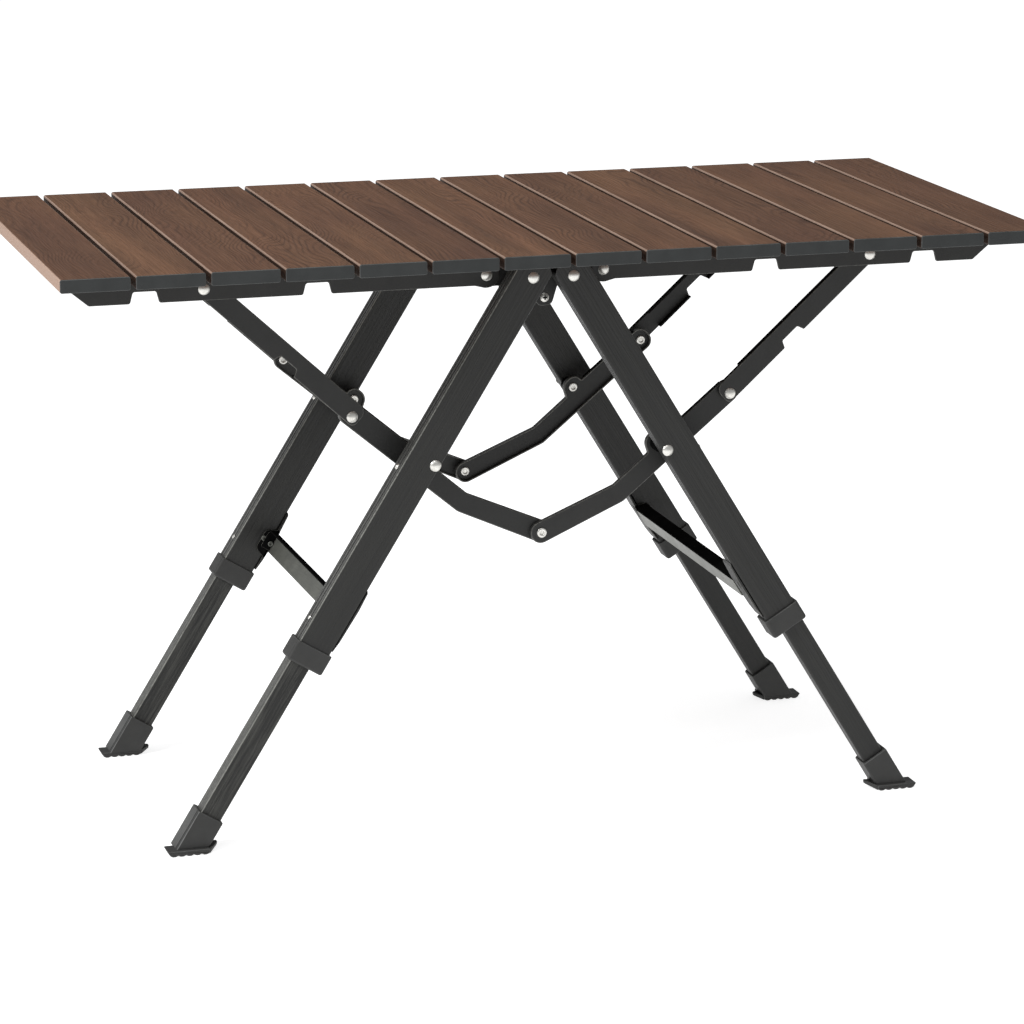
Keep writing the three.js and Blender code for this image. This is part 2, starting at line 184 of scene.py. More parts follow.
def divided(points, longest):
    """The outline with its long straight stretches cut into short ones."""
    result = []
    for i, point in enumerate(points):
        following = points[(i + 1) % len(points)]
        pieces = max(1, math.ceil((following - point).length / longest))
        result += [point.lerp(following, k / pieces) for k in range(pieces)]
    return result


def leg_point(s, n):
    return (
        LEG_PIVOT[0] + s * math.sin(LEG_TILT) + n * math.cos(LEG_TILT),
        LEG_PIVOT[1] - s * math.cos(LEG_TILT) + n * math.sin(LEG_TILT),
    )


def leg_outline(corners):
    return rounded([(*leg_point(*corner[:2]), *corner[2:]) for corner in corners])


def along(p, q):
    """Turns (distance from p towards q, distance to the left of that line) into (x, z)."""
    start = Vector(p)
    ahead = (Vector(q) - start).normalized()
    left = Vector((-ahead.y, ahead.x))
    return lambda t, u, *radius: (*(start + ahead * t + left * u), *radius)


# ---- shells: closed surfaces made of rings of points ----
def new_shell():
    return {"points": [], "faces": [], "edge": []}


def loft(rings, edge=None, ends="caps"):
    """Joins rings of equally many 3-D points. edge marks, ring by ring, the places for wear, painted highlights
    and painted shade.
    """
    shell = new_shell()
    count = len(rings[0])
    for ring, mark in zip(rings, edge or [0] * len(rings)):
        shell["points"] += [Vector(point) for point in ring]
        shell["edge"] += [mark] * count
    last = len(rings) if ends == "joined" else len(rings) - 1
    for r in range(last):
        first = r * count
        second = (r + 1) % len(rings) * count
        for i in range(count):
            j = (i + 1) % count
            shell["faces"].append((first + i, first + j, second + j, second + i))
    if ends == "caps":
        shell["faces"].append(tuple(range(count))[::-1])
        shell["faces"].append(tuple(range((len(rings) - 1) * count, len(rings) * count)))
    return shell


def round_over(size, steps=3):
    """(inset, depth, wear) steps of a rounded edge, from its flat face to its side."""
    turns = [math.pi / 2 * k / steps for k in range(steps + 1)]
    return [
        (size * (1 - math.sin(turn)), size * (1 - math.cos(turn)), math.sin(2 * turn))
        for turn in turns
    ]


def swept(points, steps):
    """A shell along y from an outline in the XZ plane; steps holds (inset, y, wear)."""
    rings = [[(p.x, y, p.y) for p in inset(points, amount)] for amount, y, wear in steps]
    return loft(rings, [wear for amount, y, wear in steps])


def plate(points, y0, y1, front_edge, back_edge=None):
    """A flat piece with rounded edges."""
    back_edge = front_edge if back_edge is None else back_edge
    steps = [(a, y0 + d, w) for a, d, w in round_over(front_edge)]
    steps += [(a, y1 - d, w) for a, d, w in reversed(round_over(back_edge))]
    return swept(points, steps)


def tray(points, web_y, rim_y):
    """A pressed tray: its web faces the front at web_y and its wall, all round, ends at rim_y."""
    sheet = 1.5
    lip = 0.4
    steps = [(sheet, web_y + sheet, 0), (sheet, rim_y - lip, 0.4), (sheet - lip, rim_y, 1)]
    steps += [(lip, rim_y, 1), (0, rim_y - lip, 0.4)]
    steps += [(a, web_y + d, w) for a, d, w in reversed(round_over(1.4))]
    return swept(points, steps)


def leg_ring(points, s):
    """A ring across the leg from an outline in (n, y); s is a number or a function of n."""
    ring = []
    for p in points:
        x, z = leg_point(s(p.x) if callable(s) else s, p.x)
        ring.append((x, p.y, z))
    return ring


def turned(centre, profile, axis="y", y=0, steps=ROUND_STEPS, cross=None):
    """A round piece about a line through centre, an (x, z). profile holds (distance along, radius)
    from one end of the piece to the other, and cross(a, b) pushes a place along the line."""
    rings = []
    for distance, radius in profile:
        ring = []
        for k in range(steps):
            turn = 2 * math.pi * k / steps
            a = radius * math.cos(turn)
            b = radius * math.sin(turn)
            depth = cross(a, b) if cross else 0
            ring.append((a, distance + depth, b))
        rings.append(ring)
    shell = loft(rings)
    if axis == "n":
        upright = Matrix.Rotation(math.pi / 2, 4, "X")
        swing = Matrix.Rotation(math.pi / 2 - LEG_TILT, 4, "Y") @ upright
        shell["points"] = [swing @ point for point in shell["points"]]
    middle = Vector((centre[0], y, centre[1]))
    shell["points"] = [point + middle for point in shell["points"]]
    return shell


def dome_profile(y, direction, radius=RIVET_RADIUS, rise=RIVET_RISE):
    """A domed head on a face at y, from its top to its flat side."""
    steps = 8
    sphere = (radius**2 + rise**2) / (2 * rise)
    widest = math.asin(min(1, radius / sphere))
    top = y + direction * rise
    profile = []
    for k in range(steps + 1):
        turn = widest * max(k, 0.15) / steps
        profile.append((top - direction * sphere * (1 - math.cos(turn)), sphere * math.sin(turn)))
    return profile + [(y, radius * 0.98), (y, 0.1)]


def dome(centre, y):
    return turned(centre, dome_profile(y, -1))


def tubular_head(centre, y, direction, radius=4.8, bore=2.1):
    """A rolled rivet end: a ring with a round lip and a hole."""
    lip = 0.9
    floor = 0.3
    middle = (radius + bore) / 2
    spread = (radius - bore) / 2
    profile = [(y + direction * floor, 0.1), (y + direction * floor, bore)]
    for k in range(ARC_STEPS + 1):
        turn = math.pi * k / ARC_STEPS
        rise = lip + lip * math.sin(turn)
        profile.append((y + direction * rise, middle - spread * math.cos(turn)))
    return turned(centre, profile + [(y, radius), (y, 0.1)])


def round_bar(centre, y0, y1, radius):
    edge = 0.4
    profile = [(y0, 0.1), (y0, radius - edge), (y0 + edge, radius)]
    profile += [(y1 - edge, radius), (y1, radius - edge), (y1, 0.1)]
    return turned(centre, profile)


# ---- objects ----
def mesh_of(name, shells, side, front):
    """One mesh in metres from shells in millimetres, mirrored to its corner, with edge marks for wear, painted
    highlights and painted shade.
    """
    mesh = bpy.data.meshes.new(name)
    points = []
    faces = []
    edge = []
    for shell in shells:
        start = len(points)
        points += [Vector((side * p.x, front * p.y, p.z)) * MM for p in shell["points"]]
        faces += [tuple(start + i for i in face) for face in shell["faces"]]
        edge += shell["edge"]
    mesh.from_pydata(points, [], faces)
    shape = bmesh.new()
    shape.from_mesh(mesh)
    bmesh.ops.recalc_face_normals(shape, faces=shape.faces)
    shape.to_mesh(mesh)
    shape.free()
    mesh.attributes.new("edge", "FLOAT", "POINT").data.foreach_set("value", edge)
    return mesh


def mark_leg_places(mesh, side, front, seed):
    """Stores where each point is on its leg, so that a tube's grain runs down the tube."""
    place = mesh.attributes.new("leg_place", "FLOAT_VECTOR", "POINT")
    top = Vector(LEG_PIVOT)
    for value, vertex in zip(place.data, mesh.vertices):
        x = side * vertex.co.x / MM - top.x
        z = vertex.co.z / MM - top.y
        s = x * math.sin(LEG_TILT) - z * math.cos(LEG_TILT)
        n = x * math.cos(LEG_TILT) + z * math.sin(LEG_TILT)
        value.vector = (s * MM, n * MM + seed, front * vertex.co.y + seed)


def make(name, shells, surface, node, side=1, front=1, stands_for=(), seed=0.0):
    """Turns shells into one mesh object that rides with the body of its CAD node."""
    mesh = mesh_of(name, shells, side, front)
    mark_leg_places(mesh, side, front, seed)
    mesh.polygons.foreach_set("use_smooth", [True] * len(mesh.polygons))
    mesh.set_sharp_from_angle(angle=math.radians(38))
    piece = bpy.data.objects.new(name, mesh)
    bpy.context.scene.collection.objects.link(piece)
    mesh.materials.append(surface)
    weighted = piece.modifiers.new("weighted", "WEIGHTED_NORMAL")
    weighted.keep_sharp = True
    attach(piece, body_of(node))
    if stands_for:
        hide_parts(*stands_for)
    return piece


# ---- materials ----
def linear(r, g, b):
    """A colour given as 0-255 display values, in scene values."""
    def one(value):
        value /= 255
        return value / 12.92 if value <= 0.04045 else ((value + 0.055) / 1.055) ** 2.4
    return (one(r), one(g), one(b), 1)


class Surface:
    """A node material with short calls for the nodes used here."""

    def __init__(self, name, slot):
        self.material = bpy.data.materials.new(name)
        self.material.use_nodes = True
        self.material["slot"] = slot
        self.tree = self.material.node_tree
        self.shader = self.tree.nodes["Principled BSDF"]

    def node(self, kind, **inputs):
        made = self.tree.nodes.new(kind)
        for key, value in inputs.items():
            self.feed(made.inputs[key.replace("_", " ")], value)
        return made

    def feed(self, socket, value):
        if isinstance(value, bpy.types.NodeSocket):
            self.tree.links.new(value, socket)
        else:
            socket.default_value = value

    def place(self):
        return self.node("ShaderNodeTexCoord").outputs["Object"]

    def attribute(self, name, output="Fac"):
        made = self.node("ShaderNodeAttribute")
        made.attribute_name = name
        return made.outputs[output]

    def noise(self, vector, scale=1.0, detail=3.0, roughness=0.5, distortion=0.0):
        made = self.node(
            "ShaderNodeTexNoise",
            Vector=vector, Scale=scale, Detail=detail, Roughness=roughness, Distortion=distortion,
        )
        return made.outputs["Fac"]

    def grain(self, place, scale, detail=3.0, roughness=0.5, distortion=0.0):
        """Noise with a scale of its own along each axis."""
        stretched = self.node("ShaderNodeMapping", Vector=place, Scale=scale).outputs[0]
        return self.noise(stretched, 1.0, detail, roughness, distortion)

    def math(self, operation, a, b=0.0):
        made = self.node("ShaderNodeMath")
        made.operation = operation
        self.feed(made.inputs[0], a)
        self.feed(made.inputs[1], b)
        return made.outputs[0]

    def times(self, a, b):
        return self.math("MULTIPLY", a, b)

    def span(self, value, from_min, from_max, to_min=0.0, to_max=1.0):
        return self.node(
            "ShaderNodeMapRange", Value=value,
            From_Min=from_min, From_Max=from_max, To_Min=to_min, To_Max=to_max,
        ).outputs[0]

    def mix(self, factor, first, second):
        """Blends two colours, each a socket or three 0-255 display values."""
        made = self.node("ShaderNodeMix")
        made.data_type = "RGBA"
        self.feed(made.inputs[0], factor)
        for socket, value in ((6, first), (7, second)):
            self.feed(made.inputs[socket], linear(*value) if isinstance(value, tuple) else value)
        return made.outputs[2]

    def bump(self, height, distance, strength=1.0):
        made = self.node("ShaderNodeBump", Height=height, Distance=distance, Strength=strength)
        self.feed(self.shader.inputs["Normal"], made.outputs[0])

    def finish(self, color, roughness, metallic=0.0, specular=0.5):
        self.feed(self.shader.inputs["Base Color"], color)
        self.feed(self.shader.inputs["Roughness"], roughness)
        self.shader.inputs["Metallic"].default_value = metallic
        self.shader.inputs["Specular IOR Level"].default_value = specular
        return self.material


def board_place(wood, board):
    """The place on a board, shifted by the board's number so that no two boards look alike."""
    shift = wood.node("ShaderNodeCombineXYZ")
    for socket, step in zip(shift.inputs, (0.613, 1.37, 0.291)):
        wood.feed(socket, wood.times(board, step))
    moved = wood.node("ShaderNodeVectorMath")
    moved.operation = "ADD"
    wood.feed(moved.inputs[0], wood.place())
    wood.feed(moved.inputs[1], shift.outputs[0])
    return moved.outputs[0]


def year_rings(wood, base):
    """Wavy lines along the board, 0 between them and 1 on them."""
    bend = wood.grain(base, (9, 3.4, 1), 2.0, 0.5)
    split = wood.node("ShaderNodeSeparateXYZ", Vector=base)
    across = wood.math("ADD", split.outputs[0], wood.times(bend, 0.17))
    phase = wood.times(across, 1250)
    ripple = wood.grain(base, (90, 5, 1), 3.0, 0.6)
    phase = wood.math("ADD", phase, wood.times(ripple, 7.0))
    return wood.span(wood.math("SINE", phase), -1.0, 1.0)


def with_board_side_shade_and_highlight(wood, color, fibre):
    """Darkens the long flanks as painted shade in the gaps, and paints the upper arrises and the table's two ends
    pale, partly as worn bare wood and partly as painted highlight.
    """
    wear = wood.attribute("edge")
    arris_wear_and_highlight = wood.mix(wood.span(fibre, 0.3, 0.7), (142, 121, 108), (122, 101, 89))
    normal = wood.node("ShaderNodeTexCoord").outputs["Normal"]
    sideways = wood.node("ShaderNodeSeparateXYZ", Vector=normal).outputs[0]
    # Painted shade: faces that turn sideways, the flanks in the gaps between the boards, are darkened.
    flank_shade = wood.span(wood.math("ABSOLUTE", sideways), 0.3, 0.9)
    color = wood.mix(flank_shade, color, (44, 31, 24))
    # Pale arrises and table ends: partly worn wood, partly painted highlight.
    bare_wood_and_highlight = wood.mix(wood.span(wear, 0.8, 1.0), arris_wear_and_highlight, (152, 128, 114))
    return wood.mix(wood.span(wear, 0.0, 0.8), color, bare_wood_and_highlight)


def wood_surface():
    """Brown wood grain: slow light and dark patches, year rings and fine dark pores."""
    wood = Surface("walnut_grain", "wood_top")
    board = wood.attribute("board")
    base = board_place(wood, board)
    rings = year_rings(wood, base)
    patch = wood.span(wood.grain(base, (34, 2.2, 1), 3.0, 0.55), 0.3, 0.7)
    fibre = wood.grain(base, (700, 9, 1), 5.0, 0.7)
    pore = wood.span(wood.grain(base, (950, 26, 1), 3.0, 0.6), 0.54, 0.68)
    ring_strength = wood.span(wood.grain(base, (28, 2.6, 3), 2.0), 0.38, 0.62)
    cloud = wood.span(wood.grain(base, (11, 4, 1), 2.0, 0.5), 0.35, 0.65)
    color = wood.mix(patch, (75, 53, 40), (104, 73, 54))
    color = wood.mix(wood.times(cloud, 0.5), color, (112, 82, 58))
    stock = wood.span(wood.math("SINE", wood.times(board, 2.4)), -1.0, 1.0, 0.0, 0.4)
    color = wood.mix(stock, color, (72, 48, 38))
    ring_dark = wood.times(wood.math("POWER", rings, 3.0), ring_strength)
    color = wood.mix(wood.times(ring_dark, 0.6), color, (52, 35, 26))
    color = wood.mix(wood.span(fibre, 0.42, 0.72, 0.0, 0.5), color, (58, 40, 30))
    color = wood.mix(wood.times(pore, 0.35), color, (42, 29, 22))
    color = with_board_side_shade_and_highlight(wood, color, fibre)
    height = wood.math("SUBTRACT", 0.0, wood.span(fibre, 0.42, 0.72))
    height = wood.math("SUBTRACT", height, wood.times(pore, 0.8))
    height = wood.math("SUBTRACT", height, wood.times(ring_dark, 0.6))
    wood.bump(height, 0.0004, 0.6)
    roughness = wood.span(fibre, 0.3, 0.7, 0.52, 0.7)
    return wood.finish(color, roughness, specular=0.1)


def coated_steel(name, color, gloss):
    """Black coating with a fine orange peel, faint dust and thin worn edges."""
    steel = Surface(name, "black_steel")
    place = steel.place()
    grit = steel.noise(place, 2600, 2.0, 0.6)
    cloud = steel.noise(place, 45, 3.0, 0.6)
    dusty = tuple(c + 9 for c in color)
    shade = steel.mix(steel.span(cloud, 0.3, 0.7), color, dusty)
    chips = steel.span(steel.noise(place, 380, 3.0, 0.7), 0.42, 0.6)
    wear = steel.times(steel.attribute("edge"), steel.span(chips, 0, 1, 0.45, 1.0))
    shade = steel.mix(steel.times(wear, 0.6), shade, (118, 117, 112))
    steel.bump(grit, 0.0002, 0.25)
    return steel.finish(shade, steel.span(cloud, 0.3, 0.7, 0.42, 0.55), specular=gloss)


def embossed_tube(name, valley, ridge, depth):
    """Black tube rolled with a lengthwise wood-like grain. edge is above 0 where a painted highlight
    goes on a lit corner, and below 0 where a groove gets painted shade."""
    tube = Surface(name, "black_tube")
    place = tube.attribute("leg_place", "Vector")
    streak = tube.grain(place, (14, 420, 420), 3.0, 0.6, 0.3)
    vein = tube.grain(place, (5, 150, 150), 2.0, 0.5, 0.8)
    groove = tube.span(streak, 0.4, 0.6)
    shade = tube.mix(groove, valley, ridge)
    shade = tube.mix(tube.span(vein, 0.5, 0.62, 0.0, 0.4), shade, (28, 28, 27))
    chips = tube.span(tube.noise(tube.place(), 420, 3.0, 0.7), 0.35, 0.6, 0.5, 1.0)
    # Painted highlight on the marked corners, broken up by the chips noise, then painted shade in the grooves.
    edge = tube.attribute("edge")
    wear = tube.times(tube.span(edge, 0.0, 1.0), chips)
    shade = tube.mix(tube.times(wear, 0.85), shade, (136, 136, 131))
    shade = tube.mix(tube.span(edge, 0.0, -1.0, 0.0, 0.9), shade, (10, 10, 10))
    height = tube.math("SUBTRACT", groove, tube.times(vein, 0.8))
    tube.bump(height, depth, 0.8)
    matt = tube.span(streak, 0.3, 0.7, 0.42, 0.58)
    roughness = tube.math("SUBTRACT", matt, tube.times(wear, 0.3))
    return tube.finish(shade, roughness, specular=0.32)


def moulded_plastic(name, color):
    """Matt moulded plastic with a fine spark-eroded texture. edge is read as on the tubes: a pale
    rub, partly wear and partly painted highlight, that is full at 4, and painted shade below 0."""
    plastic = Surface(name, "black_plastic")
    place = plastic.place()
    grain = plastic.noise(place, 3200, 2.0, 0.5)
    cloud = plastic.noise(place, 60, 3.0, 0.55)
    dusty = tuple(c + 8 for c in color)
    shade = plastic.mix(plastic.span(cloud, 0.3, 0.7), color, dusty)
    edge = plastic.attribute("edge")
    # Pale rub on the marked edges, partly wear and partly painted highlight, then painted shade in the grooves.
    patchy = plastic.span(cloud, 0.35, 0.6, 0.5, 1.0)
    rub_and_highlight = plastic.times(plastic.span(edge, 0.0, 4.0), patchy)
    shade = plastic.mix(plastic.times(rub_and_highlight, 0.88), shade, (128, 129, 128))
    shade = plastic.mix(plastic.span(edge, 0.0, -1.0, 0.0, 0.9), shade, (14, 14, 14))
    plastic.bump(grain, 0.0002, 0.35)
    return plastic.finish(shade, plastic.span(cloud, 0.3, 0.7, 0.5, 0.62), specular=0.3)


def grey_sheet():
    """Dark grey zinc-like sheet with drawn lengthwise marks."""
    sheet = Surface("grey_pressed_sheet", "grey_steel")
    place = sheet.place()
    drawn = sheet.grain(place, (700, 30, 700), 3.0, 0.6)
    cloud = sheet.noise(place, 50, 3.0, 0.6)
    shade = sheet.mix(sheet.span(cloud, 0.3, 0.7), (91, 92, 87), (106, 107, 101))
    shade = sheet.mix(sheet.span(drawn, 0.45, 0.7, 0, 0.4), shade, (84, 85, 80))
    wear = sheet.times(sheet.attribute("edge"), 0.5)
    shade = sheet.mix(wear, shade, (160, 160, 154))
    sheet.bump(drawn, 0.0002, 0.3)
    return sheet.finish(shade, sheet.span(cloud, 0.3, 0.7, 0.36, 0.5), metallic=0.35, specular=0.5)


def nickel_plate():
    """Bright nickel with slightly cloudy gloss and hairline scratches."""
    nickel = Surface("nickel_plate", "nickel")
    place = nickel.place()
    cloud = nickel.noise(place, 240, 3.0, 0.6)
    scratch = nickel.grain(place, (4000, 500, 900), 2.0, 0.6)
    shade = nickel.mix(nickel.span(cloud, 0.3, 0.7), (226, 225, 220), (206, 204, 198))
    shade = nickel.mix(nickel.span(scratch, 0.55, 0.7, 0.0, 0.3), shade, (150, 149, 144))
    return nickel.finish(shade, nickel.span(cloud, 0.3, 0.7, 0.26, 0.4), metallic=0.75)


def studio_floor():
    """A wide white floor that glows softly, so that it runs out to white."""
    sweep = Surface("backlit_acrylic", "stage")
    cloud = sweep.noise(sweep.place(), 0.6, 2.0, 0.5)
    shade = sweep.mix(sweep.span(cloud, 0.3, 0.7), (196, 196, 196), (200, 200, 200))
    sweep.shader.inputs["Emission Color"].default_value = (1, 1, 1, 1)
    sweep.shader.inputs["Emission Strength"].default_value = 0.8
    return sweep.finish(shade, 0.9, specular=0.0)


WOOD = wood_surface()
STEEL = coated_steel("satin_black_coating", (34, 34, 33), 0.28)
UPPER_TUBE = embossed_tube("embossed_upper_tube", (33, 33, 32), (38, 38, 36), 0.0002)
LOWER_TUBE = embossed_tube("embossed_lower_tube", (25, 25, 24), (56, 56, 53), 0.0008)
CAP_PLASTIC = moulded_plastic("board_cap_plastic", (38, 40, 40))
FOOT_PLASTIC = moulded_plastic("foot_plastic", (45, 45, 44))
SHEET = grey_sheet()
NICKEL = nickel_plate()
# Near black: a black coating on the lever cheeks and crossbar tabs, and painted shade on the flanges, rims, recess
# floors and link bushes.
BLACK_ENAMEL_AND_SHADE = coated_steel("black_enamel_and_painted_shade", (12, 12, 12), 0.0)


# ---- the top ----
CAP_DEPTH = 1.4
BOARD_RADIUS = 2
TABLE_ENDS = (box_mm(SLATS[0])[0].x, box_mm(SLATS[-1])[1].x)


def board_section(low, high):
    return rectangle((low.x, high.x), (low.z, high.z), BOARD_RADIUS)


def board_shell(low, high):
    """A board between its caps, marked on its upper arrises and on the table's two ends."""
    section = board_section(low, high)
    y0 = low.y + CAP_DEPTH
    y1 = high.y - CAP_DEPTH
    bevel = 0.25
    steps = [(bevel, y0, 0), (0, y0 + bevel, 0)]
    steps += [(0, y0 + (y1 - y0) * k / 8, 0) for k in range(1, 8)]
    steps += [(0, y1 - bevel, 0), (bevel, y1, 0)]
    shell = swept(section, steps)
    # These marks get pale wood, partly wear and partly painted highlight.
    for i, point in enumerate(shell["points"]):
        reach = min(point.x - low.x, high.x - point.x)
        drop = high.z - point.z
        if min(abs(point.x - x) for x in TABLE_ENDS) < 1:
            shell["edge"][i] = 1.0
        elif 0.05 < reach < 0.6 * BOARD_RADIUS and drop < BOARD_RADIUS:
            shell["edge"][i] = 0.8
    return shell


def cap_shell(low, high, end):
    section = board_section(low, high)
    y0 = low.y if end < 0 else high.y
    inner = y0 - end * (CAP_DEPTH - 0.1)
    steps = [(a, y0 - end * d, w) for a, d, w in round_over(0.8)]
    steps += [(0.05, inner + end * 0.2, 0), (0.3, inner, 0)]
    return swept(section, steps)


def build_top():
    for number, name in enumerate(SLATS, 1):
        low, high = box_mm(name)
        shell = board_shell(low, high)
        board = make(f"board_{number:02d}", [shell], WOOD, name, stands_for=[name])
        marks = board.data.attributes.new("board", "FLOAT", "POINT")
        marks.data.foreach_set("value", [float(number)] * len(board.data.vertices))
        for end, word in [(-1, "front"), (1, "back")]:
            shell = cap_shell(low, high, end)
            make(f"board_cap_{word}_{number:02d}", [shell], CAP_PLASTIC, name)


# ---- rails, brackets and the spacer rod ----
def rail_shells():
    """A rail's web, with two notches in its lower edge and a slanted outer end, and its flange."""
    top = SLAT_UNDERSIDE - GAP
    edge = 546
    notch = 557.5
    notches = []
    for x in (216, 385.5):
        notches += [(x, edge, 2.5), (x + 3, notch, 2.5), (x + 25.5, notch, 2.5)]
        notches.append((x + 28.5, edge, 2.5))
    web = rounded([
        (47.5, 543.5, 12), (62, 543.5, 4), (72, edge, 4), *notches,
        (454, edge, 3), (485, top - 5, 3), (485, top, 0.8),
        (76, top, 0.8), (73, 568.5, 4), (47.5, 568.5, 12),
    ])
    flange = rounded([(77, top - 2), (485, top - 2), (485, top), (77, top)])
    return [
        plate(web, *RAIL_Y, 0.7, 0.4),
        plate(flange, RAIL_Y[0] + 0.8, -132, 0.3),
    ]


def bracket_shells():
    top = SLAT_UNDERSIDE - GAP
    half = [
        (66, top, 0.8), (66, top - 6, 1), (70, top - 7, 4), (72.5, 556, 8), (68, 544, 8),
        (50, 544.5, 3), (14, 544.5, 6), (7.4, 522.5, 6.5),
    ]
    mirrored = [(-corner[0], *corner[1:]) for corner in reversed(half)]
    flange = rounded([(-66, top - 2), (66, top - 2), (66, top), (-66, top)])
    return [
        plate(rounded(half + mirrored), *BRACKET_Y, 0.6),
        plate(flange, BRACKET_Y[0] + 0.8, BRACKET_Y[0] + 18, 0.3),
    ]


def cross_recess(a, b):
    """How deep a cross-recess screw head is at a place on it."""
    arm = 0.65
    reach = 2.4
    inside = (abs(a) < arm and abs(b) < reach) or (abs(b) < arm and abs(a) < reach)
    return 1.1 if inside else 0.0


def cross_recess_shade(centre, y):
    """The floor of the cross recess, a black plate as painted shade in the recess."""
    x, z = centre
    arm = 0.6
    reach = 2.3
    corners = [
        (-arm, -reach), (arm, -reach), (arm, -arm), (reach, -arm), (reach, arm), (arm, arm),
        (arm, reach), (-arm, reach), (-arm, arm), (-reach, arm), (-reach, -arm), (-arm, -arm),
    ]
    return plate(rounded([(x + a, z + b) for a, b in corners]), y, y + 0.5, 0.05)


def screw_shells(centre, face):
    """A low domed screw head with a cross recess, and its base."""
    radius = 4.6
    rise = 2.0
    steps = 24
    sphere = (radius**2 + rise**2) / (2 * rise)
    profile = []
    for k in range(1, steps + 1):
        r = radius * k / steps
        profile.append((face - rise + sphere - math.sqrt(sphere**2 - r**2), r))
    head = turned(centre, profile, steps=64, cross=cross_recess)
    base = turned(centre, [(face, radius * 0.98), (face + 0.2, radius * 0.9)])
    return [head, base]


def build_middle():
    rod_low, rod_high = box_mm("spacer_rod")
    rod = (0, (rod_low.z + rod_high.z) / 2)
    face = BRACKET_Y[0] - GAP
    for word, front in [("front", 1), ("back", -1)]:
        bracket = f"centre_bracket_{word}"
        screw = f"rod_screw_{word}"
        plates = bracket_shells()
        make(f"bracket_plate_{word}", plates, STEEL, bracket, 1, front, stands_for=[bracket])
        shells = screw_shells(rod, face)
        make(f"cross_screw_{word}", shells, NICKEL, screw, 1, front, stands_for=[screw])
        # A black plate as painted shade in the screw's cross recess.
        inlay = cross_recess_shade(rod, face - 1.75)
        make(f"cross_recess_{word}", [inlay], BLACK_ENAMEL_AND_SHADE, screw, 1, front)
    bar = round_bar(rod, rod_low.y, rod_high.y, (rod_high.z - rod_low.z) / 2)
    make("spacer_bar", [bar], STEEL, "spacer_rod", stands_for=["spacer_rod"])


# ---- legs ----
def grooved_section():
    """The upper tube's section, with two lengthwise grooves in each narrow face."""
    n0, n1 = UPPER["n"]
    y0, y1 = UPPER["y"]
    radius = 2.2
    groove = 0.9
    lines = [(y0 + y1) / 2 + offset for offset in (-3.6, 3.6)]
    corners = [(n0, y0, radius), (n1, y0, radius)]
    for line in lines:
        corners += [(n1, line - 1.2), (n1 - groove, line - 0.6)]
        corners += [(n1 - groove, line + 0.6), (n1, line + 1.2)]
    corners += [(n1, y1, radius), (n0, y1, radius)]
    for line in reversed(lines):
        corners += [(n0, line + 1.2), (n0 + groove, line + 0.6)]
        corners += [(n0 + groove, line - 0.6), (n0, line - 1.2)]
    return divided(rounded(corners, 5), 3.0)


def tube_highlight_and_shade_mark(p, n, y, wear, front):
    """How much painted highlight a place on a tube's section gets: most on one outer corner, a little on the outer
    narrow face, and below 0 for painted shade in a groove.
    """
    front_face = y[0] if front > 0 else y[1]
    if 0.5 < min(p.x - n[0], n[1] - p.x) < 1 and abs(p.y - (y[0] + y[1]) / 2) < 6:
        return -1.0
    if 0.15 < n[1] - p.x < 1.6 and 0.15 < abs(p.y - front_face) < 1.6:
        return wear
    return 0.3 * wear if n[1] - p.x < 0.05 else 0.0


def tube_shell(section, size, top, wear, front):
    """An open tube down the leg. top(n) is how far down the leg its upper end is."""
    bottom = size["bottom"]
    bevel = 0.4
    inner = inset(section, size["wall"])

    def below_top(n):
        return top(n) + 0.5

    first = max(0, top(0)) + 25
    levels = [bottom * k / 8 for k in range(1, 8)]
    rings = [leg_ring(inset(section, bevel), top), leg_ring(section, below_top)]
    rings += [leg_ring(section, s) for s in levels if s > first]
    rings += [leg_ring(section, bottom - bevel), leg_ring(inset(section, bevel), bottom)]
    rings += [leg_ring(inner, bottom), leg_ring(inner, below_top)]
    shell = loft(rings, ends="joined")
    marks = [tube_highlight_and_shade_mark(p, size["n"], size["y"], wear, front) for p in section]
    shell["edge"] = marks * len(rings)
    return shell


def upper_tube_shell(wear, front):
    """The upper tube, whose end is rounded about its pivot."""
    cap = 19

    def top(n):
        return -math.sqrt(max(cap**2 - n**2, 0))

    return tube_shell(grooved_section(), UPPER, top, wear, front)


def lower_tube_shell(wear, front):
    section = divided(rectangle(LOWER["n"], LOWER["y"], 2), 3.0)
    return tube_shell(section, LOWER, lambda n: LOWER["top"], wear, front)


def grown(span, amount):
    return (span[0] - amount, span[1] + amount)


def collar_shell():
    """The sleeve at the end of the upper tube, with a narrower passage for the lower tube."""
    top, bottom = COLLAR["s"]
    step = bottom - 3
    outer = rectangle(COLLAR["n"], COLLAR["y"], 3.4)
    seat = rectangle(grown(UPPER["n"], GAP), grown(UPPER["y"], GAP), 2.4)
    passage = rectangle(grown(LOWER["n"], GAP), grown(LOWER["y"], GAP), 2.2)
    rings = []
    marks = []
    for amount, depth, wear in round_over(0.9):
        rings.append(leg_ring(inset(outer, amount), top + depth))
        marks.append(wear)
    for amount, depth, wear in reversed(round_over(2.4, 5)):
        rings.append(leg_ring(inset(outer, amount), bottom - depth))
        marks.append(0.3 * wear)
    rings += [leg_ring(passage, bottom), leg_ring(passage, step)]
    rings += [leg_ring(seat, step), leg_ring(seat, top)]
    return loft(rings, marks + [0] * 4, ends="joined")


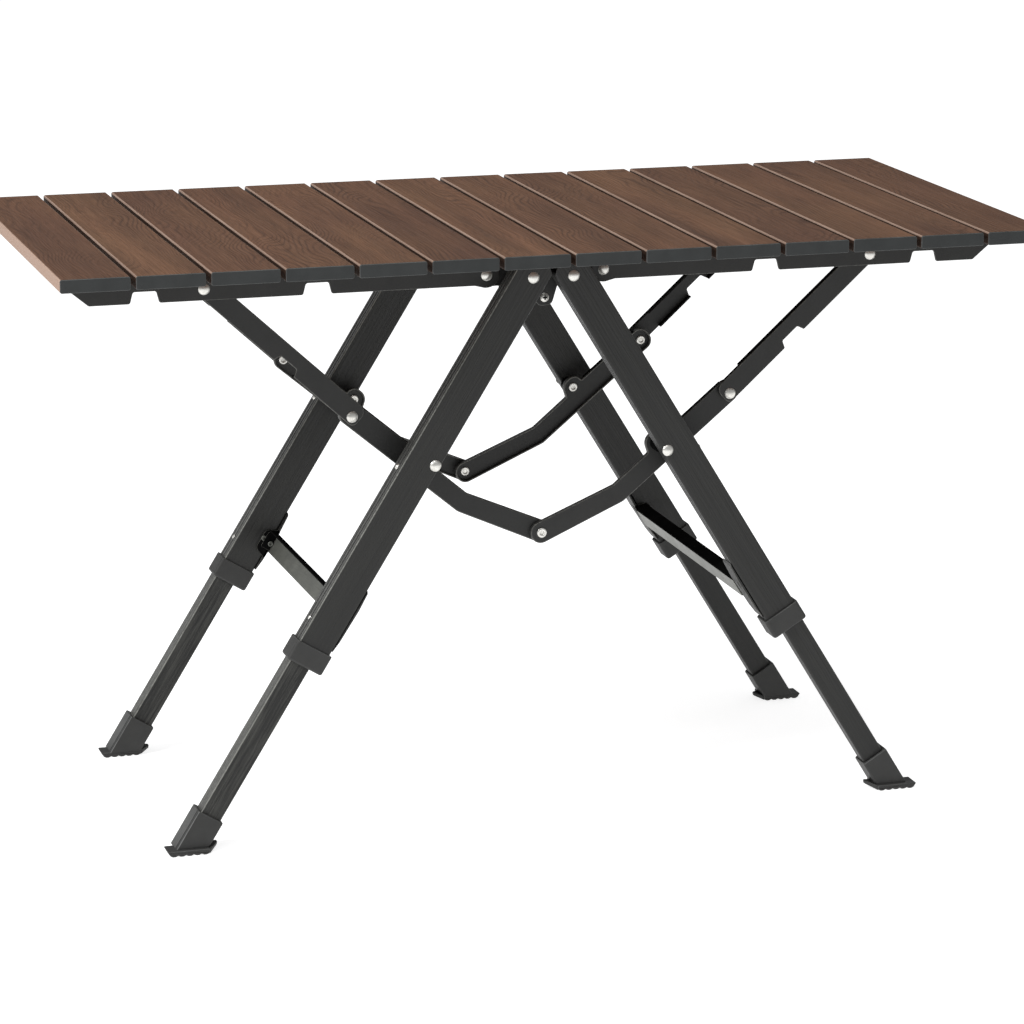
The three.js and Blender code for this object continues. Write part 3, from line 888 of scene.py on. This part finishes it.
def socket_section(front):
    """The sleeve's section, with one groove next to the outer corner to the table's front."""
    n0, n1 = SOCKET["n"]
    y0, y1 = SOCKET["y"]
    groove = 0.9
    section = rounded([
        (n0, y0, 2.2), (n1, y0, 2.2), (n1, y0 + 4.2), (n1 - groove, y0 + 4.8),
        (n1 - groove, y0 + 6), (n1, y0 + 6.6), (n1, y1, 2.2), (n0, y1, 2.2),
    ])
    if front > 0:
        return section
    return counter_clockwise([Vector((p.x, y0 + y1 - p.y)) for p in section])


def socket_highlight_and_shade_mark(p, wear, front):
    """How much painted highlight a place on the sleeve's section gets, most on its outer corner, below 0 for
    painted shade in the groove, or None where it is as its ring says.
    """
    y0, y1 = SOCKET["y"]
    outward = SOCKET["n"][1] - p.x
    inward = p.y - y0 if front > 0 else y1 - p.y
    if 0.5 < outward < 1 and 4.5 < inward < 6.3:
        return -1.0
    if 0.4 < outward < 1.0 and 0.4 < inward < 1.0:
        return 4.0 * wear
    return wear if outward < 0.1 and inward > 6.5 else None


def socket_shell(wear, front):
    """The shoe's sleeve: it holds the lower tube and ends in the sole."""
    outer = socket_section(front)
    bore = rectangle(grown(LOWER["n"], GAP), grown(LOWER["y"], GAP), 2)
    top = SOCKET["top"]
    floor = SOLE["height"] - 0.6

    def ground(n):
        return (LEG_PIVOT[1] + n * math.sin(LEG_TILT) - floor) / math.cos(LEG_TILT)

    # The bore gets as many points as the outside.
    spare = len(outer) - len(bore)
    bore = bore[:1] * (spare // 2) + bore + bore[-1:] * (spare - spare // 2)
    rings = [leg_ring(bore, LOWER["bottom"] + 0.4), leg_ring(bore, top + 0.6)]
    marks = [0, 0.5]
    for amount, depth, mark in round_over(1.2):
        rings.append(leg_ring(inset(outer, amount), top + depth))
        marks.append(mark)
    rings.append(leg_ring(outer, ground))
    shell = loft(rings, marks + [0])
    for i, p in enumerate(outer * len(rings)):
        mark = socket_highlight_and_shade_mark(p, wear, front)
        if i >= 3 * len(outer) and mark is not None:
            shell["edge"][i] = mark
    return shell


def sole_section(x0, x1):
    """The sole from the side, with soft ribs under it."""
    height = SOLE["height"]
    ribs = round((x1 - x0) / SOLE["pitch"])
    rib = (x1 - x0 - 2) / ribs
    tread = []
    for i in range(ribs):
        x = x0 + 1 + i * rib
        tread += [(x, 1.3, 1.2), (x + rib / 2 - 1.4, 0, 2.4), (x + rib / 2 + 1.4, 0, 2.4)]
    outline = [(x0, 1.6, 0.6), *tread, (x1 - 1, 1.3, 0.5), (x1 + 1.6, height - 1, 0.9)]
    return rounded([*outline, (x1 + 1, height, 1), (x0, height, 1)], 5)


def sole_shells(front):
    """The ribbed sole plate, cut short at its outer end to the table's back, and its toe."""
    x0, x1 = SOLE["x"]
    y0, y1 = SOLE["y"]
    depth = SOLE["outer_depth"]
    full = (y0, y0 + depth) if front > 0 else (y1 - depth, y1)
    short = (full[1] - 2, y1) if front > 0 else (y0, full[0] + 2)
    return [
        plate(sole_section(x0, x1), *full, 1.2),
        plate(sole_section(x0, x1 - 14), *short, 1.2),
        toe_shell(front),
    ]


def toe_shell(front):
    """A blunt tongue that turns up at the inner end, on the side to the table's front."""
    root = SOLE["x"][0] + 6
    seat = SOLE["height"] - 0.3
    under = 1.2
    y0, y1 = TOE["y"] if front > 0 else [sum(SOLE["y"]) - y for y in reversed(TOE["y"])]
    bottom, top = TOE["z"]
    rings = []
    for k in range(15):
        part = (k + 0.3) / 14.6
        rise = min(1, part / 0.55, (1 - part) / 0.3)
        tip = root - 6 - TOE["reach"] * rise
        lip = seat + (top - seat) * rise
        chin = under + (bottom - under) * rise
        outline = rounded([
            (root, under, 0.4), (root - 6, under, 2), (tip, chin, 0.8), (tip - 0.6, lip, 0.9),
            (tip + 1.4, lip, 0.9), (root - 4, seat - 1.5, 2), (root, seat - 1.5, 0.4),
        ])
        rings.append([(p.x, y0 + (y1 - y0) * part, p.y) for p in outline])
    return loft(rings)


def lever_shells():
    """The release lever: a pressed shell along the inner narrow face, with a raised rib."""
    face = UPPER["n"][0] - 0.1
    top, bottom = LEVER["s"]
    crest = face - LEVER["lift"]
    body = leg_outline([
        (top, face, 0.3), (top + 3, face - 2.2, 1.2), (top + 22, crest, 20),
        (bottom - 12, crest + 0.9, 12), (bottom, face - 1, 0.6), (bottom, face, 0.3),
    ])
    rib = leg_outline([
        (top + 20, crest + 1, 0.6), (top + 24, crest - 0.8, 1),
        (top + 38, crest + 0.1, 1), (top + 42, crest + 1.6, 0.6),
    ])
    return [
        plate(body, UPPER["y"][0] + 1.2, LEVER_SIDE, 0.8),
        plate(rib, UPPER["y"][0] + 7, LEVER_SIDE - 7, 0.5),
    ]


def cheek_shell():
    """The lever's side cheek, which carries the end of the crossbar."""
    face = UPPER["n"][0] - GAP
    lifted = face - LEVER["lift"]
    top, bottom = LEVER["s"]
    cheek = leg_outline([
        (top + 20, lifted, 2), (top + 27, -4, 6), (bottom - 21, -4, 6),
        (bottom - 15, face - 2, 1), (top + 36, lifted, 16),
    ])
    return plate(cheek, UPPER["y"][1] + GAP, LEVER_SIDE, 0.4)


def crossbar_shells():
    """A pressed channel, open towards the outside of the table: its web and its upper flange."""
    top, bottom = CROSSBAR["s"]
    n0, n1 = CROSSBAR["n"]
    sheet = CROSSBAR["sheet"]
    end = LEVER_SIDE + GAP
    web = leg_outline([
        (top + sheet + 0.1, n0, 0.6), (bottom, n0, 0.6),
        (bottom, n0 + sheet, 0.4), (top + sheet + 0.1, n0 + sheet, 0.4),
    ])
    flange = leg_outline([
        (top, n1, 0.4), (top, n0, 1.2), (top + sheet, n0, 0.2), (top + sheet, n1, 0.4),
    ])
    return plate(web, end, -end, 0.4), plate(flange, end, -end, 0.4)


def crossbar_tab(end):
    """The black tab in one end of the channel, the front one for -1 and the back one for 1."""
    n0, n1 = CROSSBAR["n"]
    top, bottom = grown(CROSSBAR["s"], -2)
    tab = leg_outline([(top, n1, 2), (top, n0 + 2, 0.5), (bottom, n0 + 2, 0.5), (bottom, n1, 2)])
    start = LEVER_SIDE + GAP + 0.5
    near, far = (start, start + 1.5) if end < 0 else (-start - 1.5, -start)
    return plate(tab, near, far, 0.3)


def build_tubes(corner, side, front):
    """The telescopic leg with its collar and shoe. The left pair, lit from the left, gets the strong painted
    highlights, and its lower tubes the more contrasted coating.
    """
    seed = 0.37 * side + 0.71 * front
    # How strong the painted highlights on the tube and shoe corners are.
    wear = 1.0 if side < 0 else 0.15
    coating = LOWER_TUBE if side < 0 else UPPER_TUBE
    shoe = [socket_shell(wear, front), *sole_shells(front)]
    pieces = [
        ("upper_tube", [upper_tube_shell(wear, front)], UPPER_TUBE, "upper_leg", seed),
        ("lower_tube", [lower_tube_shell(wear, front)], coating, "lower_leg", seed + 2),
        ("collar_sleeve", [collar_shell()], FOOT_PLASTIC, "collar", 0),
        ("shoe", shoe, FOOT_PLASTIC, "foot", 0),
    ]
    for name, shells, surface, part, shift in pieces:
        node = f"{part}_{corner}"
        make(f"{name}_{corner}", shells, surface, node, side, front, [node], shift)


def build_lever(corner, side, front):
    lever = f"release_lever_{corner}"
    make(f"lever_plate_{corner}", lever_shells(), STEEL, lever, side, front, [lever])
    make(f"lever_cheek_{corner}", [cheek_shell()], BLACK_ENAMEL_AND_SHADE, lever, side, front)
    seats = [LEVER_SIDE + 0.1, LEVER_SIDE + GAP + 2.1]
    screws = [
        tubular_head(leg_point(*spot), seat, 1, 2.9, 1.1)
        for spot, seat in zip(LEVER_SCREWS, seats)
    ]
    make(f"lever_screws_{corner}", screws, SHEET, lever, side, front)


def build_leg_rivet(corner, side, front):
    """The rivet through the top of the leg and the bracket, with a spacer between them."""
    pin = f"leg_pivot_pin_{corner}"
    heads = [
        dome(LEG_PIVOT, UPPER["y"][0] - 0.1),
        round_bar(LEG_PIVOT, UPPER["y"][1] + GAP, BRACKET_Y[0] - GAP, 7),
        tubular_head(LEG_PIVOT, BRACKET_Y[1] + 0.1, 1),
    ]
    make(f"leg_rivet_{corner}", heads, NICKEL, pin, side, front, [pin])


def build_tube_stops(corner, side, front):
    """The small studs on the upper tube's outer narrow face."""
    middle = (UPPER["y"][0] + UPPER["y"][1]) / 2
    stops = []
    for s, radius, rise in TUBE_STOPS:
        profile = dome_profile(0, 1, radius, rise)
        stops.append(turned(leg_point(s, UPPER["n"][1]), profile, "n", middle, 24))
    make(f"tube_stops_{corner}", stops, NICKEL, f"upper_leg_{corner}", side, front)


def build_legs():
    for corner, side, front in CORNERS:
        build_tubes(corner, side, front)
        build_lever(corner, side, front)
        build_leg_rivet(corner, side, front)
        build_tube_stops(corner, side, front)
    for word, side in [("right", 1), ("left", -1)]:
        node = f"release_crossbar_{word}"
        web, flange = crossbar_shells()
        make(f"crossbar_web_{word}", [web], SHEET, node, side, 1, [node])
        # The upper flange is made black as painted shade under the top.
        black = [flange, crossbar_tab(-1), crossbar_tab(1)]
        make(f"crossbar_flange_{word}", black, BLACK_ENAMEL_AND_SHADE, node, side)


# ---- the linkage ----
def arm_shells():
    """A pressed arm from the rail to the lower link, rimmed towards the inside."""
    at = along(RAIL_PIVOT, ARM_PIVOT)
    length = math.dist(RAIL_PIVOT, ARM_PIVOT)
    start, end = ARM_NOTCH

    def upper(t):
        return -(13.2 + t / length)

    def lower(t):
        return 8.4 - 0.8 * t / length

    def rim(t0, t1, line, inward):
        return rounded([
            at(t0, line(t0)), at(t1, line(t1)),
            at(t1, line(t1) + inward), at(t0, line(t0) + inward),
        ])

    web = rounded([
        at(-9, upper(0), 9),
        at(length + 8, upper(length), 9),
        at(length + 8, lower(length), 6),
        at(end, lower(end), 2),
        at(end - 3, lower(end) - ARM_NOTCH_DEPTH, 2),
        at(start + 3, lower(start) - ARM_NOTCH_DEPTH, 2),
        at(start, lower(start), 2),
        at(-9, lower(0), 7),
    ])
    rims = [
        rim(16, length - 26, upper, 1.5),
        rim(16, start, lower, -1.5),
        rim(end, length - 26, lower, -1.5),
    ]
    root = ARM_Y[0] + 1.3
    folded = [plate(shape, root, ARM_RIM_Y, 0.2) for shape in rims]
    shallow = rim(length - 27, length - 3, upper, 1.5)
    folded.append(plate(shallow, root, OUTER_LINK_Y[0] - 0.5, 0.2))
    return plate(web, *ARM_Y, 1.1, 0.3), folded


def link_outline():
    """The cranked link: round ends, a soft bend and a lobe for the leg's rivet."""
    upper = along(LINK_BEND, ARM_PIVOT)
    lower = along(LINK_BEND, CENTRE_PIVOT)
    upper_length = math.dist(LINK_BEND, ARM_PIVOT)
    lower_length = math.dist(LINK_BEND, CENTRE_PIVOT)
    rivet = Vector(LINK_PIVOT) - Vector(LINK_BEND)
    ahead = Vector(upper(1, 0)) - Vector(LINK_BEND)
    rivet_t = rivet.dot(ahead)
    rivet_u = ahead.cross(rivet)
    r = LINK_END
    m = LINK_MIDDLE
    lobe_top = rivet_u + LINK_LOBE
    lobe_end = rivet_t + LINK_LOBE
    lobe_corner = rivet_t - LINK_LOBE * math.tan(math.pi / 4 - LOBE_LEAN / 2)
    lobe_foot = lobe_corner - (lobe_top - r) * math.tan(LOBE_LEAN)
    inner_bend = Vector(upper(0, r)).lerp(Vector(lower(0, -r)), 0.5)
    outer_bend = Vector(LINK_BEND) * 2 - inner_bend
    return rounded([
        upper(upper_length + r, -r, r * 0.98),
        upper(upper_length + r, LINK_BROW, r * 0.98),
        upper(lobe_end, LINK_BROW, 0.8),
        upper(lobe_end, lobe_top, lobe_top - LINK_BROW - 1),
        upper(lobe_corner, lobe_top, LINK_LOBE * 0.98),
        upper(lobe_foot, r, 1.8),
        (*inner_bend, 8),
        lower(lower_length + m, -m, m * 0.98),
        lower(lower_length + m, m, m * 0.98),
        (*outer_bend, 18),
    ], 10)


def link_rim(near, far):
    """The folded rim along the link's upper edge, from the arm's end to the leg, made black as painted shade under
    the top.
    """
    upper = along(LINK_BEND, ARM_PIVOT)
    start = LINK_RIM_START
    end = math.dist(LINK_BEND, ARM_PIVOT)
    low = LINK_BROW - 0.4
    high = LINK_BROW + 0.5
    strip = rounded([upper(end, low), upper(start, low), upper(start, high), upper(end, high)])
    return plate(strip, near + 0.6, far + 0.2, 0.2)


def build_linkage():
    outline = link_outline()
    for corner, side, front in CORNERS:
        rail = f"rail_{corner}"
        arm = f"upper_arm_{corner}"
        link = f"lower_link_{corner}"
        build_rail(corner, rail, side, front)
        web, folded = arm_shells()
        make(f"arm_plate_{corner}", [web], STEEL, arm, side, front, [arm])
        # The rims are made black as painted shade under the top.
        make(f"arm_rims_{corner}", folded, BLACK_ENAMEL_AND_SHADE, arm, side, front)
        make(f"arm_rivet_{corner}", [dome(ARM_PIVOT, ARM_Y[0] - 0.1)], NICKEL, arm, side, front)
        outermost = side * front > 0
        near, far = OUTER_LINK_Y if outermost else INNER_LINK_Y
        pressed = tray(outline, near, far)
        make(f"link_tray_{corner}", [pressed], STEEL, link, side, front, [link])
        # The rim is made black as painted shade.
        make(f"link_rim_{corner}", [link_rim(near, far)], BLACK_ENAMEL_AND_SHADE, link, side, front)
        heads = [
            dome(LINK_PIVOT, UPPER["y"][0] - 0.1),
            tubular_head(LINK_PIVOT, near + 1.6, 1),
            tubular_head(ARM_PIVOT, near + 1.6, 1),
        ]
        if outermost:
            heads.append(tubular_head(CENTRE_PIVOT, near - 0.1, -1, 5.0, 1.9))
        else:
            heads.append(tubular_head(CENTRE_PIVOT, near + 1.6, 1))
        make(f"link_rivets_{corner}", heads, NICKEL, link, side, front)
        # The bush is made near-black as painted shade at the leg's rivet.
        bush = round_bar(LINK_PIVOT, UPPER["y"][1] + GAP, near - 0.1, 7)
        make(f"link_bush_{corner}", [bush], BLACK_ENAMEL_AND_SHADE, link, side, front)


def build_rail(corner, rail, side, front):
    make(f"rail_plate_{corner}", rail_shells(), STEEL, rail, side, front, [rail])
    heads = [
        dome(WING_PIVOT, RAIL_Y[0] - 0.1),
        dome(RAIL_PIVOT, RAIL_Y[0] - 0.1),
        tubular_head(WING_PIVOT, BRACKET_Y[1] + 0.1, 1),
        tubular_head(RAIL_PIVOT, ARM_Y[1] + 0.1, 1),
    ]
    make(f"rail_rivets_{corner}", heads, NICKEL, rail, side, front)


# ---- studio ----
def build_floor():
    half = 30
    corners = [(-half, -half, 0), (half, -half, 0), (half, half, 0), (-half, half, 0)]
    mesh = bpy.data.meshes.new("studio_floor")
    mesh.from_pydata(corners, [], [(0, 1, 2, 3)])
    mesh.materials.append(studio_floor())
    floor = bpy.data.objects.new("studio_floor", mesh)
    bpy.context.scene.collection.objects.link(floor)


def build_world():
    """Soft light from everywhere, and plain white where a view goes past the floor."""
    world = bpy.data.worlds.new("studio_light")
    world.use_nodes = True
    tree = world.node_tree
    soft = tree.nodes["Background"]
    soft.inputs["Color"].default_value = (0.97, 0.985, 1, 1)
    soft.inputs["Strength"].default_value = 0.4
    white = tree.nodes.new("ShaderNodeBackground")
    white.inputs["Color"].default_value = (1, 1, 1, 1)
    white.inputs["Strength"].default_value = 1.0
    path = tree.nodes.new("ShaderNodeLightPath")
    choose = tree.nodes.new("ShaderNodeMixShader")
    tree.links.new(path.outputs["Is Camera Ray"], choose.inputs[0])
    tree.links.new(soft.outputs[0], choose.inputs[1])
    tree.links.new(white.outputs[0], choose.inputs[2])
    tree.links.new(choose.outputs[0], tree.nodes["World Output"].inputs["Surface"])
    bpy.context.scene.world = world


def area_light(name, place, target, size, power):
    light = bpy.data.lights.new(name, "AREA")
    light.shape = "RECTANGLE"
    light.size = size[0]
    light.size_y = size[1]
    light.energy = power
    lamp = bpy.data.objects.new(name, light)
    lamp.location = place
    lamp.rotation_euler = (Vector(target) - Vector(place)).to_track_quat("-Z", "Y").to_euler()
    bpy.context.scene.collection.objects.link(lamp)


def build_lights():
    area_light("overhead_softbox", (-0.4, -0.4, 3.6), (0, 0, 0.5), (2.6, 2.2), 71)
    area_light("left_softbox", (-3.0, -1.1, 3.0), (0, 0, 0.4), (0.9, 0.9), 125)


def build_camera():
    """Slightly from the left of the table's middle and a little above its top."""
    lens = bpy.data.cameras.new("camera")
    lens.lens = 137.64
    lens.sensor_width = 36
    lens.clip_end = 100
    camera = bpy.data.objects.new("camera", lens)
    camera.location = (-1.1344, -3.7562, 1.2606)
    turn = Matrix.Rotation(math.radians(-16.97), 4, "Z")
    tilt = Matrix.Rotation(math.radians(90 - 14.06), 4, "X")
    roll = Matrix.Rotation(math.radians(0.19), 4, "Z")
    camera.rotation_euler = (turn @ tilt @ roll).to_euler()
    bpy.context.scene.collection.objects.link(camera)
    bpy.context.scene.camera = camera


build_top()
build_middle()
build_legs()
build_linkage()
build_floor()
build_world()
build_lights()
build_camera()
bpy.context.scene.view_settings.view_transform = "Standard"
